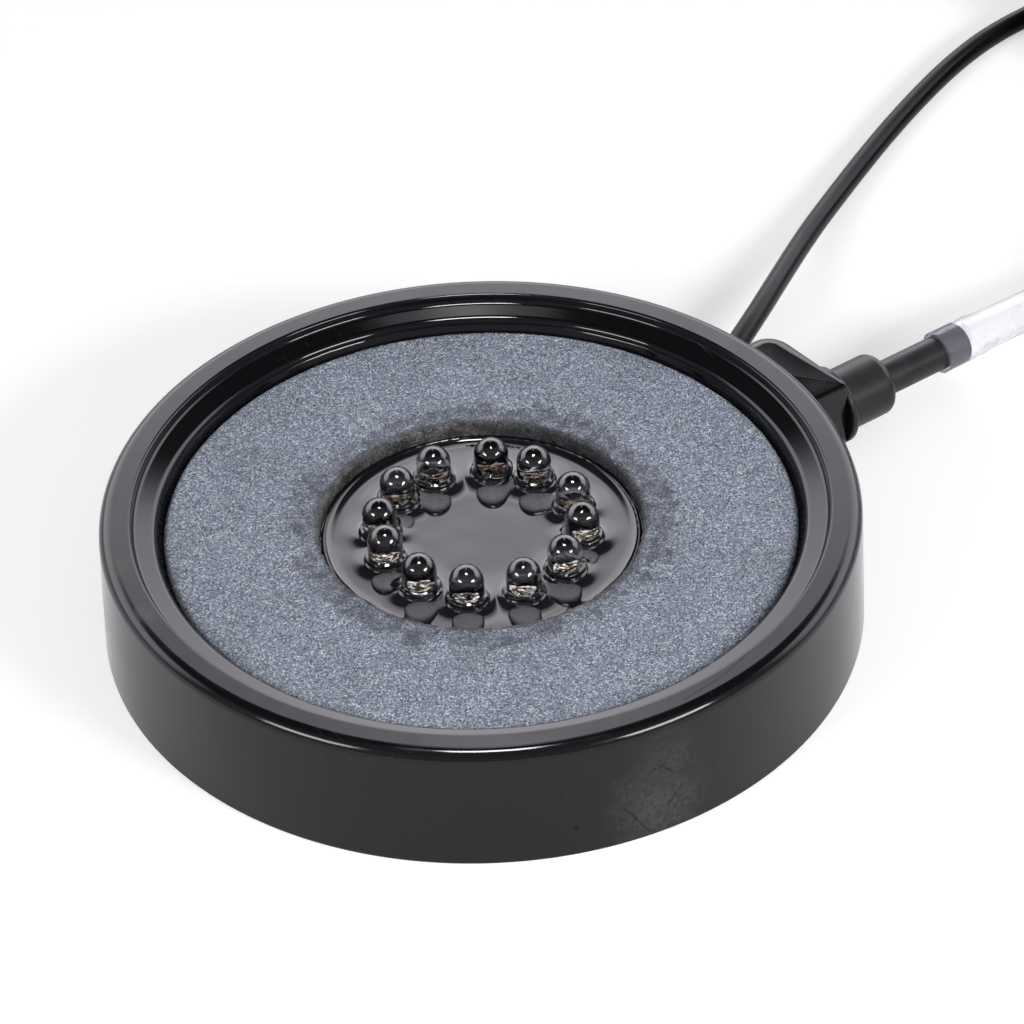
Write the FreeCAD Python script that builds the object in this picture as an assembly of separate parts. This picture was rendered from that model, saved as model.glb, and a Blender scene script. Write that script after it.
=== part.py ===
import FreeCAD, Part
import math
import os

# Lit air stone disc for a water tank: a round moulded housing carries a flat
# ring of bonded grit, and air blown through the side inlet rises out of it.
# Twelve lamps stand in black potting resin in the well at the centre.
# Millimetres. Origin on the disc's axis at its underside, +Z up, inlet along +X.

V = FreeCAD.Vector
UP = V(0, 0, 1)
os.makedirs("parts", exist_ok=True)

# Outer ring moulding
housing_h = 19.4
housing_r = 54.0
foot_flare = 0.4
wall_t = 2.6
top_round = 2.2
foot_round = 0.4
rim_w = 4.45
ledge_w = 3.65
ledge_drop = 1.3
ledge_fall = 0.35
cove_round = 0.5
ledge_round = 0.7
edge_round = 0.3
skirt_t = 1.6
seat_w = 3.2
seat_t = 1.8

# Base moulding with the lamp hub
base_t = 2.4
base_gap = 0.1
base_step = 0.8
hub_in_r = 22.1
hub_lip_t = 0.6
hub_lip_h = 2.85
hub_shoulder_w = 2.2
hub_shelf_w = 1.5

# Grit ring and the glue on both sides of it
stone_drop = 3.5
stone_t = 4.8
stone_edge = 0.35
outer_glue_w = 0.95
inner_glue_w = 0.35
outer_glue_drop = 0.5
inner_glue_drop = 2.4

# Lamps, their board and the resin
led_count = 12
led_ring_r = 14.4
led_phase = -11.0
led_drift = (-1, 3, -1, 3, 1, 0.6, -4.5, -2, -3, -0.5, 0, 1)
led_r = 2.5
led_flange_r = 2.9
led_flange_t = 1.0
led_len = 8.7
leg_pitch = 2.54
leg_w = 0.5
leg_below = 1.5
frame_rise = 2.5
cup_w = 1.1
cup_top = 5.3
cup_depth = 0.5
frame_gap = 0.35
post_w = 0.7
post_short = 0.6
board_t = 1.6
board_gap = 0.2
leg_hole_r = 0.45
resin_t = 2.75
collar_w = 0.78
collar_h = 1.35
meniscus_w = 0.5
meniscus_h = 0.35
resistor_count = 4
resistor_size = (3.2, 1.6, 0.6)
resistor_ring_r = 8.0

# Inlet boss on the outer ring, and the pipe in it
inlet_z = 6.3
boss_reach = 9.3
boss_side_y = -4.6
boss_back_y = 12.2
boss_top_z = 13.0
boss_lobe_r = 4.6
boss_round = 0.6
lobe_round = 3.2
pipe_r = 2.68
pipe_bore_r = 1.6
pipe_depth = 5.1
pipe_reach = 25.4
pipe_nose = 0.4
flange_r = 6.0
flange_t = 1.1
flange_round = 0.4
collar_r = 4.78
collar_len = 9.7
collar_round = 1.5

# Power lead, where it leaves the wall behind the boss, and its strain relief
lead_r = 1.7
lead_under_board = 0.9
lead_angle = 35.5
lead_side_y = 13.7
outlet_r = 3.6
outlet_len = 2.0
relief_plug_r = 2.5
relief_plug_len = 5.5
relief_flange_r = 3.2
relief_flange_t = 1.0
relief_tip_r = 2.1
relief_len = 7.0
lead_chamber_bend = 16.0
lead_end_gap = 4.5
lead_end_angle = 7.0
wire_r = 0.55
wire_gap = 0.15
wire_run = 3.5

# Barrel plug on the lead's far end, its axis lying along -Y
plug_out = 154.0
plug_top_y = 37.0
plug_r = 4.9
plug_len = 21.0
plug_round = 1.0
plug_relief_len = 11.0
plug_relief_r = 3.3
plug_relief_tip_r = 2.2
relief_groove_count = 4
relief_groove_w = 0.9
relief_groove_d = 0.6
nose_r = 3.6
nose_len = 0.8
barrel_r = 2.75
barrel_bore_r = 2.35
barrel_len = 9.5
barrel_hold = 6.0
barrel_root_r = 3.2
contact_r = 1.5
contact_bore_r = 1.05
contact_recess = 1.0
insulator_recess = 0.6

# Airline
airline_r = 3.0
airline_bore_r = 2.0
airline_grip = 4.6
cuff_wall = 0.67
cuff_taper = 2.4

# Hand-set routes of the two lines: how far out from the housing's top edge, how far
# across from the inlet's axis, and the height of the line's underside over the surface
lead_route = (
    V(24.0, 31.9, 3.3), V(36.0, 39.8, 1.6), V(48.0, 47.0, 0.5),
    V(61.0, 53.9, 0.1), V(73.5, 59.3, 0.0), V(86.0, 63.3, 0.0), V(97.0, 65.5, 0.0),
    V(109.0, 66.2, 0.0), V(122.0, 65.9, 0.0),
)
lead_tail_route = (
    V(122.0, 65.9, 10.2), V(130.5, 64.9, 9.5), V(139.0, 61.8, 7.9), V(146.5, 56.2, 5.9),
    V(151.8, 49.0, 3.9),
)
airline_route = (
    V(52.0, 0.3, 2.6), V(64.0, 1.2, 1.3), V(75.0, 2.5, 0.3), V(86.0, 3.0, 0.0),
)
airline_tail_route = (
    V(86.0, 3.0, 6.0), V(99.0, 2.6, 5.6), V(112.0, -0.6, 4.2), V(123.5, -7.4, 2.2),
    V(132.0, -17.0, 0.6), V(136.0, -29.5, 0.0), V(136.0, -43.0, 0.0),
)
lead_exit_run = 7.5
airline_exit_run = 7.0
plug_entry_run = 7.0
lead_coil_out_r = 22.4
lead_coil_turns = 3
lead_coil_layers = 4
airline_coil_out_r = 42.0
airline_coil_turns = 3
airline_coil_layers = 2

# Heights and radii that several pieces share
housing_foot_r = housing_r + foot_flare
rim_in_r = housing_r - rim_w
ledge_in_r = rim_in_r - ledge_w
ledge_z = housing_h - ledge_drop
ledge_in_z = ledge_z - ledge_fall
stone_top_z = housing_h - stone_drop
seat_z = stone_top_z - stone_t
stone_r = ledge_in_r - outer_glue_w
hub_lip_r = hub_in_r + hub_lip_t
stone_bore_r = hub_lip_r + inner_glue_w
lip_z = seat_z + hub_lip_h
wall_in_r = housing_r - wall_t
floor_z = lip_z - 0.5
board_top_z = floor_z - resin_t
board_low_z = board_top_z - board_t
led_base_z = board_top_z
cup_top_z = led_base_z + cup_top
boss_out_x = housing_r + boss_reach
pipe_end_x = boss_out_x + pipe_reach
airline_start_x = pipe_end_x - airline_grip
plug_x = housing_r + plug_out
lead_z = board_low_z - lead_under_board - lead_r
axis_dir = V(math.cos(math.radians(lead_angle)), math.sin(math.radians(lead_angle)), 0)


def save(name, shape):
    shape.exportStep("parts/" + name + ".step")


def rounded_edges(points, radii, closed):
    """Straight edges through the points, joined by tangent arcs of the given radii."""
    count = len(points)
    starts, ends, arcs = [], [], []
    for i, point in enumerate(points):
        radius = radii[i]
        if radius <= 0 or (not closed and i in (0, count - 1)):
            starts.append(point)
            ends.append(point)
            arcs.append(None)
            continue
        back = (points[i - 1] - point).normalize()
        ahead = (points[(i + 1) % count] - point).normalize()
        half = back.getAngle(ahead) / 2
        cut = radius / math.tan(half)
        to_centre = (back + ahead).normalize()
        middle = point + to_centre * (radius / math.sin(half) - radius)
        starts.append(point + back * cut)
        ends.append(point + ahead * cut)
        arcs.append(middle)
    edges = []
    for i in range(count):
        if arcs[i]:
            edges.append(Part.Arc(starts[i], arcs[i], ends[i]).toShape())
        if i == count - 1 and not closed:
            continue
        following = starts[(i + 1) % count]
        if (following - ends[i]).Length > 1e-6:
            edges.append(Part.LineSegment(ends[i], following).toShape())
    return edges


def outline(corners, place):
    """Closed face through (a, b) or (a, b, round) corners, set in space by place."""
    points = [place(c[0], c[1]) for c in corners]
    radii = [c[2] if len(c) > 2 else 0 for c in corners]
    return Part.Face(Part.Wire(rounded_edges(points, radii, True)))


def turned(corners, origin=V(0, 0, 0), axis=UP):
    """Solid of revolution. Corners are (radius, distance along the axis, round)."""
    side = V(1, 0, 0) if abs(axis.z) > 0.5 else axis.cross(UP)
    face = outline(corners, lambda r, t: origin + side * r + axis * t)
    return face.revolve(origin, axis, 360)


def bar(x0, x1, y0, y1, z0, z1):
    return Part.makeBox(x1 - x0, y1 - y0, z1 - z0, V(x0, y0, z0))


def route_radii(points):
    """Arc radius at each inner point, as large as its two runs allow."""
    radii = [0]
    for before, point, after in zip(points, points[1:], points[2:]):
        run = min((point - before).Length, (after - point).Length)
        turn = (point - before).getAngle(after - point)
        radii.append(0.45 * run / math.tan(turn / 2))
    return radii + [0]


def swept(points, radius):
    path = Part.Wire(rounded_edges(points, route_radii(points), False))
    ring = Part.Wire(Part.Circle(points[0], points[1] - points[0], radius).toShape())
    return path.makePipeShell([ring], True, False), path.Length


def hose(name, points, radius, bore=0.0):
    solid, length = swept(points, radius)
    section = math.pi * (radius ** 2 - bore ** 2)
    if bore:
        solid = solid.cut(swept(points, bore)[0])
    radii = [round(r, 1) for r in route_radii(points)[1:-1]]
    print(name, "length", round(length, 1), "radii", radii,
          "volume ratio", round(solid.Volume / (section * length), 4))
    return solid


def laid(points, r):
    """Centre points of a line of radius r that follows a route."""
    return tuple(point + V(housing_r, 0, r) for point in points)


def coil_form(start, out_r, turns, layers, r):
    """Closed ring that the wound turns fill. Its outer turn passes the start point."""
    in_r = out_r - turns * 2 * r
    height = layers * 2 * r
    corners = ((in_r - r, 0), (out_r + r, 0), (out_r + r, height), (in_r - r, height))
    return turned(corners, V(start.x, start.y - out_r, 0))


def led_angles():
    step = 360.0 / led_count
    return [led_phase + step * i + led_drift[i % len(led_drift)] for i in range(led_count)]


def at_led(shape, angle):
    moved = shape.copy()
    moved.translate(V(led_ring_r, 0, 0))
    moved.rotate(V(0, 0, 0), UP, angle)
    return moved


def lead_point(distance):
    """Point on the lead's straight exit line, measured out from the wall."""
    start_x = math.sqrt(housing_foot_r ** 2 - lead_side_y ** 2)
    return V(start_x, lead_side_y, lead_z) + axis_dir * distance


def filleted(solid, chosen):
    """Rounds edges. chosen gives the radii at an edge's low and high end along Y, or nothing."""
    doc = FreeCAD.newDocument()
    plain = doc.addObject("Part::Feature", "plain")
    plain.Shape = solid
    rounded = doc.addObject("Part::Fillet", "rounded")
    rounded.Base = plain
    sizes = []
    for number, edge in enumerate(plain.Shape.Edges, 1):
        radii = chosen(edge.BoundBox)
        if radii:
            forward = edge.firstVertex().Point.y <= edge.lastVertex().Point.y
            sizes.append((number,) + (radii if forward else radii[::-1]))
    rounded.Edges = sizes
    doc.recompute()
    result = rounded.Shape.copy()
    FreeCAD.closeDocument(doc.Name)
    return result


def inlet_boss():
    """Block that the pipe enters. Its outer top edge grows rounder towards the lobe."""
    inside_x = wall_in_r - wall_t
    corners = ((inside_x, boss_side_y), (boss_out_x, boss_side_y),
               (boss_out_x, boss_back_y, boss_lobe_r), (inside_x, boss_back_y))
    block = outline(corners, lambda x, y: V(x, y, 0)).extrude(V(0, 0, boss_top_z))
    near = 0.01

    def radii(box):
        at_side = box.YMax < boss_side_y + near and box.XMax > boss_out_x - near
        if at_side and (box.ZMin > boss_top_z - near or box.ZLength > near):
            return (boss_round, boss_round) if box.ZMax > boss_top_z - near else None
        if box.ZMin < boss_top_z - near or box.XMax < inside_x + near:
            return None
        return (boss_round if box.YMin < boss_side_y + near else lobe_round, lobe_round)

    return filleted(block, radii)


def housing():
    """Outer ring: wall, rim, ledge, the skirt that carries the grit ring, and the boss."""
    seat_in_r = ledge_in_r - seat_w
    under_ledge_z = ledge_in_z - skirt_t
    ring = turned((
        (housing_foot_r, 0, foot_round), (housing_r, housing_h, top_round),
        (rim_in_r, housing_h, edge_round), (rim_in_r, ledge_z, cove_round),
        (ledge_in_r, ledge_in_z, ledge_round), (ledge_in_r, seat_z), (seat_in_r, seat_z),
        (seat_in_r, seat_z - seat_t), (ledge_in_r + skirt_t, seat_z - seat_t),
        (ledge_in_r + skirt_t, under_ledge_z),
        (wall_in_r, under_ledge_z), (wall_in_r, base_t), (wall_in_r + base_step, base_t),
        (wall_in_r + base_step, 0)))
    inside = Part.makeCylinder(wall_in_r + base_step, housing_h)
    boss = inlet_boss().cut(inside)
    outlet = Part.makeCylinder(outlet_r, wall_t * 2 + outlet_len, lead_point(-wall_t * 2), axis_dir)
    outlet = outlet.cut(inside)
    body = ring.fuse([boss, outlet]).removeSplitter()
    socket_x = boss_out_x - pipe_depth
    duct_x = wall_in_r - wall_t
    duct = Part.makeCylinder(pipe_bore_r, socket_x - duct_x, V(duct_x, 0, inlet_z), V(1, 0, 0))
    socket = Part.makeCylinder(pipe_r, pipe_depth * 2, V(socket_x, 0, inlet_z), V(1, 0, 0))
    hole_len = relief_plug_len + outlet_len
    hole = Part.makeCylinder(relief_plug_r, hole_len * 2, lead_point(outlet_len - hole_len), axis_dir)
    return body.cut([duct, socket, hole])


def base():
    """Closing plate with the hub that holds the lamp board and the resin."""
    rim_r = wall_in_r + base_step - base_gap
    shoulder_r = hub_lip_r + hub_shoulder_w
    shelf_r = hub_in_r - hub_shelf_w
    body = turned((
        (0, 0), (rim_r, 0), (rim_r, base_t), (shoulder_r, base_t), (shoulder_r, seat_z),
        (hub_lip_r, seat_z), (hub_lip_r, lip_z, hub_lip_t * 0.4), (hub_in_r, lip_z, hub_lip_t * 0.4),
        (hub_in_r, board_low_z), (shelf_r, board_low_z), (shelf_r, base_t), (0, base_t)))
    return body.cut(lead_core())


def stone_ring():
    return turned((
        (stone_bore_r, seat_z), (stone_r, seat_z), (stone_r, stone_top_z),
        (stone_bore_r + stone_edge, stone_top_z), (stone_bore_r, stone_top_z - stone_edge)))


def outer_glue():
    top = stone_top_z - outer_glue_drop
    return turned(((stone_r, seat_z), (ledge_in_r, seat_z), (ledge_in_r, top + 0.3), (stone_r, top)))


def inner_glue():
    top = stone_top_z - inner_glue_drop
    return turned(((hub_lip_r, seat_z), (stone_bore_r, seat_z), (stone_bore_r, top), (hub_lip_r, top)))


def led_body():
    """Clear lamp body before the metal inside is taken out of it."""
    top = led_base_z + led_len
    return turned((
        (0, led_base_z), (led_flange_r, led_base_z), (led_flange_r, led_base_z + led_flange_t),
        (led_r, led_base_z + led_flange_t), (led_r, top, led_r), (0, top)))


def led_frame():
    """Two legs of one lamp, with the die cup on one and the bond post on the other."""
    half = leg_pitch / 2
    low_z = board_low_z - leg_below
    head_z = led_base_z + frame_rise
    cup_x = half + leg_w / 2 - cup_w * 1.7
    legs = [bar(s * half - leg_w / 2, s * half + leg_w / 2, -leg_w / 2, leg_w / 2, low_z, head_z)
            for s in (-1, 1)]
    cup = bar(cup_x, half + leg_w / 2, -cup_w / 2, cup_w / 2, head_z, cup_top_z)
    hollow = Part.makeCone(cup_w * 0.2, cup_w * 0.42, cup_depth,
                           V(cup_x + cup_w * 0.6, 0, cup_top_z - cup_depth))
    post_x = cup_x - frame_gap
    post = bar(min(post_x - post_w, -half - leg_w / 2), post_x, -leg_w / 2, leg_w / 2,
               head_z, cup_top_z - post_short)
    return Part.makeCompound([legs[0].fuse(post).removeSplitter(),
                              legs[1].fuse(cup.cut(hollow)).removeSplitter()])


def potting_resin():
    """Black resin floor of the well, with a wet collar round each lamp."""
    edge_z = floor_z + meniscus_h
    floor = turned((
        (0, board_top_z), (hub_in_r, board_top_z), (hub_in_r, edge_z),
        (hub_in_r - meniscus_w, floor_z), (0, floor_z)))
    out_r = led_r + collar_w
    top_z = floor_z + collar_h
    collar = turned((
        (0, board_top_z), (out_r + 0.35, board_top_z), (out_r + 0.35, floor_z),
        (out_r, floor_z + 0.35), (out_r, top_z - 0.4), (out_r - 0.4, top_z), (0, top_z)))
    floor = floor.fuse([at_led(collar, a) for a in led_angles()]).removeSplitter()
    for angle in led_angles():
        floor = floor.cut(at_led(led_body(), angle))
    return floor


def led_board():
    board = Part.makeCylinder(hub_in_r - board_gap, board_t, V(0, 0, board_low_z))
    holes = []
    for angle in led_angles():
        for side in (-1, 1):
            hole = Part.makeCylinder(leg_hole_r, board_t, V(side * leg_pitch / 2, 0, board_low_z))
            holes.append(at_led(hole, angle))
    return board.cut(Part.makeCompound(holes))


def resistors():
    length, width, height = resistor_size
    chips = []
    for i in range(resistor_count):
        chip = bar(-length / 2, length / 2, -width / 2, width / 2, board_low_z - height, board_low_z)
        chip.translate(V(resistor_ring_r, 0, 0))
        chip.rotate(V(0, 0, 0), UP, 360.0 / resistor_count * (i + 0.5))
        chips.append(chip)
    return Part.makeCompound(chips)


def inlet_collar():
    """Round flange against the boss with the collar that holds the pipe."""
    return turned((
        (pipe_r, 0), (flange_r, 0, flange_round), (flange_r, flange_t, flange_round),
        (collar_r, flange_t), (collar_r, collar_len, collar_round), (pipe_r, collar_len)),
        V(boss_out_x, 0, inlet_z), V(1, 0, 0))


def air_pipe():
    start = boss_out_x - pipe_depth
    length = pipe_end_x - start
    return turned((
        (pipe_bore_r, 0), (pipe_r, 0), (pipe_r, length, pipe_nose), (pipe_bore_r, length)),
        V(start, 0, inlet_z), V(1, 0, 0))


def relief_end():
    return outlet_len + relief_flange_t + relief_len


def strain_relief():
    """Rubber sleeve plugged into the outlet, tapering along the lead."""
    inner = outlet_len - relief_plug_len
    shoulder = outlet_len + relief_flange_t
    return turned((
        (lead_r, inner), (relief_plug_r, inner), (relief_plug_r, outlet_len),
        (relief_flange_r, outlet_len), (relief_flange_r, shoulder, edge_round),
        (relief_flange_r - 0.4, shoulder), (relief_tip_r, relief_end(), edge_round),
        (lead_r, relief_end())), lead_point(0), axis_dir)


def lead_end():
    """Where the lead stops inside the hub, and the way it points there."""
    turn = math.radians(lead_end_angle)
    reach = hub_in_r - lead_end_gap
    stop = V(reach * math.cos(turn), reach * math.sin(turn), lead_z)
    return stop, (stop - lead_point(-lead_chamber_bend)).normalize()


def lead_core():
    """End of the lead, from its sleeve through the chamber into the hub."""
    points = (lead_end()[0], lead_point(-lead_chamber_bend), lead_point(relief_end()))
    return swept(points, lead_r)[0]


def inner_wires():
    """Two wires from the lead's end up to the underside of the board."""
    stop, ahead = lead_end()
    across = UP.cross(ahead)
    wires = []
    for side in (-1, 1):
        first = stop + across * (side * (wire_r + wire_gap))
        bend = first + ahead * wire_run
        last = V(bend.x, bend.y, board_low_z)
        wires.append(swept([first, bend, last], wire_r)[0])
    return Part.makeCompound(wires)


def plug_point(y):
    return V(plug_x, y, plug_r)


def plug_body():
    """Moulded grip with a grooved strain relief, pointing along -Y."""
    pitch = plug_relief_len / relief_groove_count
    corners = [(0, 0), (plug_relief_tip_r, 0)]
    slope = (plug_relief_r - plug_relief_tip_r) / plug_relief_len
    for i in range(relief_groove_count):
        begin = pitch * (i + 0.5) - relief_groove_w / 2
        end = begin + relief_groove_w
        r0 = plug_relief_tip_r + slope * begin
        r1 = plug_relief_tip_r + slope * end
        corners += [(r0, begin), (r0 - relief_groove_d, begin), (r0 - relief_groove_d, end), (r1, end)]
    front = plug_relief_len + plug_len
    corners += [(plug_relief_r, plug_relief_len), (plug_r, plug_relief_len + 2.0, plug_round),
                (plug_r, front, plug_round), (nose_r, front), (nose_r, front + nose_len),
                (0, front + nose_len)]
    body = turned(corners, plug_point(plug_top_y), V(0, -1, 0))
    return body.cut(turned(((0, 0), (barrel_root_r, 0), (barrel_root_r, barrel_hold), (0, barrel_hold)),
                           plug_point(barrel_root_y()), V(0, -1, 0)))


def barrel_root_y():
    return plug_top_y - plug_relief_len - plug_len - nose_len + barrel_hold


def plug_barrel():
    length = barrel_hold + barrel_len
    return turned((
        (barrel_bore_r, 0), (barrel_root_r, 0), (barrel_root_r, barrel_hold), (barrel_r, barrel_hold),
        (barrel_r, length, 0.2), (barrel_bore_r, length)), plug_point(barrel_root_y()), V(0, -1, 0))


def plug_insulator():
    length = barrel_hold + barrel_len - insulator_recess
    return turned((
        (contact_r, 0), (barrel_bore_r, 0), (barrel_bore_r, length), (contact_r, length)),
        plug_point(barrel_root_y()), V(0, -1, 0))


def plug_contact():
    length = barrel_hold + barrel_len - contact_recess
    return turned((
        (0, 0), (contact_r, 0), (contact_r, length), (contact_bore_r, length),
        (contact_bore_r, barrel_hold), (0, barrel_hold)),
        plug_point(barrel_root_y()), V(0, -1, 0))


def airline_cuff():
    """Start of the airline, stretched over the pipe and narrowing past its end."""
    over = pipe_end_x - airline_start_x + 0.6
    end = over + cuff_taper
    corners = ((pipe_r, 0), (pipe_r + cuff_wall, 0), (pipe_r + cuff_wall, over), (airline_r, end),
               (airline_bore_r, end), (pipe_r, over))
    return turned(corners, V(airline_start_x, 0, inlet_z), V(1, 0, 0)), airline_start_x + end


def airlines():
    cuff, narrow_x = airline_cuff()
    route = laid(airline_route, airline_r)
    coil = coil_form(route[-1], airline_coil_out_r, airline_coil_turns, airline_coil_layers, airline_r)
    first = V(narrow_x, 0, inlet_z)
    straight = V(narrow_x + airline_exit_run, 0, inlet_z)
    run = hose("airline", (first, straight) + route, airline_r, airline_bore_r)
    tail = hose("airline tail", laid(airline_tail_route, airline_r), airline_r, airline_bore_r)
    return cuff.fuse(run.cut(coil)).removeSplitter(), coil, tail.cut(coil)


def leads():
    route = laid(lead_route, lead_r)
    coil = coil_form(route[-1], lead_coil_out_r, lead_coil_turns, lead_coil_layers, lead_r)
    exit_points = (lead_point(relief_end()), lead_point(relief_end() + lead_exit_run))
    run = hose("lead", exit_points + route, lead_r)
    tail_end = (plug_point(plug_top_y + plug_entry_run), plug_point(plug_top_y))
    tail = hose("lead tail", laid(lead_tail_route, lead_r) + tail_end, lead_r)
    return run.cut(coil), coil, tail.cut(coil)


def main():
    save("housing", housing())
    save("base", base())
    save("stone_ring", stone_ring())
    save("outer_glue", outer_glue())
    save("inner_glue", inner_glue())
    save("potting_resin", potting_resin())
    save("led_board", led_board())
    save("resistors", resistors())
    for i, angle in enumerate(led_angles()):
        frame = led_frame()
        save("led_lens_%02d" % (i + 1), at_led(led_body().cut(frame), angle))
        save("led_frame_%02d" % (i + 1), at_led(frame, angle))
    save("inlet_collar", inlet_collar())
    save("air_pipe", air_pipe())
    save("strain_relief", strain_relief())
    save("inner_lead", lead_core())
    save("inner_wires", inner_wires())
    save("plug_body", plug_body())
    save("plug_barrel", plug_barrel())
    save("plug_insulator", plug_insulator())
    save("plug_contact", plug_contact())
    for name, shape in zip(("airline", "airline_coil", "airline_tail"), airlines()):
        save(name, shape)
    for name, shape in zip(("power_lead", "power_lead_coil", "power_lead_tail"), leads()):
        save(name, shape)


main()
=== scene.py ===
import math

import bmesh
import bpy
from bpy.props import FloatProperty, FloatVectorProperty, IntProperty, PointerProperty
from bpy.types import Operator, Panel, PropertyGroup
from mathutils import Matrix, Vector, noise


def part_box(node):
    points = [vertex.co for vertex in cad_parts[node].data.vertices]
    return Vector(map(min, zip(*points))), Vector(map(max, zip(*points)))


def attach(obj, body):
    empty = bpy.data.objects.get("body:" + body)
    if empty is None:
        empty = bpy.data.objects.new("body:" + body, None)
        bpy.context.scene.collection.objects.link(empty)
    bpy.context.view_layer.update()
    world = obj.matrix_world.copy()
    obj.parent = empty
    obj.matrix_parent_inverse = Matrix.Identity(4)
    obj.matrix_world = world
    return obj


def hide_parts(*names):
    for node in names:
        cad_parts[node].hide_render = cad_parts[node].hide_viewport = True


bl_info = {
    "name": "Air stone disc",
    "version": (1, 0, 0),
    "blender": (4, 5, 0),
    "location": "View3D > Sidebar > Air Stone",
    "description": "Dresses a lit air stone disc: grit ring, potted lamps, hose and lead",
    "category": "Object",
}

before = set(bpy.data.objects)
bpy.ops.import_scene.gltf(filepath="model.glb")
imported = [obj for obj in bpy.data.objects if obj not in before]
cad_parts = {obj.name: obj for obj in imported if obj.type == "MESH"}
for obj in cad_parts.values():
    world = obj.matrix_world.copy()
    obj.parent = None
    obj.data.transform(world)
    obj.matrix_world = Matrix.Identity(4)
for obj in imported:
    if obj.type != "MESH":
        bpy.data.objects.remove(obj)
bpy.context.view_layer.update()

MM = 0.001
BODY = "root"
LAMPS = ["%02d" % i for i in range(1, 13)]
VIEW_TURN = math.radians(35.0)
UP = Vector((0, 0, 1))

# Routes in millimetres: the same points as the solids have
LEAD_START = (60.73, 19.51, 6.5)
LEAD_ROUTE = (
    (67.6, 23.4, 6.5), (79.1, 31.2, 5.0), (91.0, 39.2, 3.3), (103.2, 46.2, 2.2),
    (116.4, 53.0, 1.8), (128.7, 58.5, 1.7), (140.6, 62.9, 1.7), (151.0, 65.3, 1.7),
    (163.0, 65.75, 1.7),
)
LEAD_TAIL = (
    (184.5, 64.9, 11.2), (193.0, 61.8, 9.6), (200.5, 56.2, 7.6), (205.8, 49.0, 5.6),
    (208.0, 44.0, 4.9), (208.0, 37.0, 4.9),
)
HOSE_START = (84.1, 0.0, 6.3)
HOSE_ROUTE = ((98.7, 0.0, 6.3), (106.0, 0.3, 5.6), (118.0, 1.2, 4.3), (129.0, 2.5, 3.3))
HOSE_TAIL = (
    (153.0, 2.6, 8.6), (166.0, -0.6, 7.2), (177.5, -7.4, 5.2), (186.0, -17.0, 3.6),
    (190.0, -29.5, 3.0), (190.0, -43.0, 3.0),
)


def size(name, text, default, digits=2):
    """A length kept in metres."""
    return FloatProperty(name=name, description=text, default=default * MM, subtype="DISTANCE",
                         unit="LENGTH", precision=digits + 3)


def colour(name, text, default):
    return FloatVectorProperty(name=name, description=text, default=default, subtype="COLOR",
                               size=3, min=0.0, max=1.0)


class StoneSettings(PropertyGroup):
    outer: size("Outer radius", "Outside of the grit ring", 44.95)
    bore: size("Bore radius", "Hole of the grit ring", 23.05)
    low: size("Underside", "Height of the ring's underside", 11.1)
    top: size("Top", "Height of the ring's top face", 15.9)
    grain: size("Grain", "Size of one grain", 0.18)
    relief: size("Relief", "How far grains stand out of the face", 0.05)
    stain: size("Stain width", "How far the glue has soaked in round the hole", 4.4)
    steps: IntProperty(name="Steps", description="Divisions round the ring", default=600, min=60)
    pale: colour("Pale grains", "Lightest common grain", (0.31, 0.355, 0.45))
    middle: colour("Middle grains", "Most common grain", (0.165, 0.20, 0.275))
    dark: colour("Dark grains", "Darkest common grain", (0.075, 0.09, 0.125))


class WellSettings(PropertyGroup):
    floor: size("Resin level", "Height of the resin's flat surface", 13.45)
    wall: size("Well radius", "Inside of the hub's lip", 22.1)
    lens: size("Lens radius", "Radius of a lamp's body", 2.5)
    lens_top: size("Lens top", "Height of a lamp's round top", 19.4)
    lens_low: size("Lens foot", "Height of a lamp's underside", 10.7)
    collar: size("Collar radius", "Radius of the resin collar round a lamp", 3.28)
    collar_top: size("Collar top", "Height of the resin collar", 14.8)
    resin: colour("Resin", "Cast resin", (0.006, 0.006, 0.008))
    clear: colour("Lens", "Clear lamp body", (0.60, 0.60, 0.63))
    metal: colour("Lead frame", "Plated metal inside the lamps", (0.62, 0.50, 0.36))


class LineSettings(PropertyGroup):
    lead: size("Lead diameter", "Outside of the power lead", 3.4)
    lead_length: FloatProperty(name="Lead length", description="Power lead, wall to plug",
                               default=1.49, unit="LENGTH")
    hose: size("Hose diameter", "Outside of the air hose", 6.0)
    hose_bore: size("Hose bore", "Inside of the air hose", 4.0)
    hose_length: FloatProperty(name="Hose length", description="Air hose, pipe to free end",
                               default=1.38, unit="LENGTH")
    pipe: size("Pipe radius", "Pipe that the hose is pushed over", 2.68)
    pipe_end: size("Pipe end", "How far along the inlet axis the pipe reaches", 88.7)
    vinyl: colour("Hose", "Clear hose", (0.985, 0.98, 1.0))
    sheath: colour("Lead", "Sheath of the power lead", (0.004, 0.004, 0.005))


class BodySettings(PropertyGroup):
    radius: size("Radius", "Housing at its top edge", 54.0)
    flare: size("Flare", "How much wider the housing is at its foot", 0.4)
    height: size("Height", "Surface to rim", 19.4)
    rim: size("Rim width", "Flat rim round the top", 4.45)
    ledge: size("Ledge width", "Sunk ledge inside the rim", 3.65)
    shoulder: size("Shoulder", "Rounding of the housing's top edge", 1.8)
    boss_out: size("Boss reach", "Distance of the boss's face from the axis", 63.3)
    boss_side: size("Boss side", "Side of the boss across the inlet's axis", -4.6)
    boss_back: size("Boss back", "Back of the boss across the inlet's axis", 12.8)
    boss_lobe: size("Boss lobe", "Round corner of the boss, seen from above", 4.6)
    boss_low: size("Boss top, side", "Height of the boss at its side", 13.2)
    boss_high: size("Boss top, back", "Height of the boss at its back", 14.2)
    black: colour("Housing", "Moulded black plastic", (0.0025, 0.0025, 0.0035))
    glue: colour("Glue", "Set glue beside the grit ring", (0.015, 0.015, 0.018))


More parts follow.
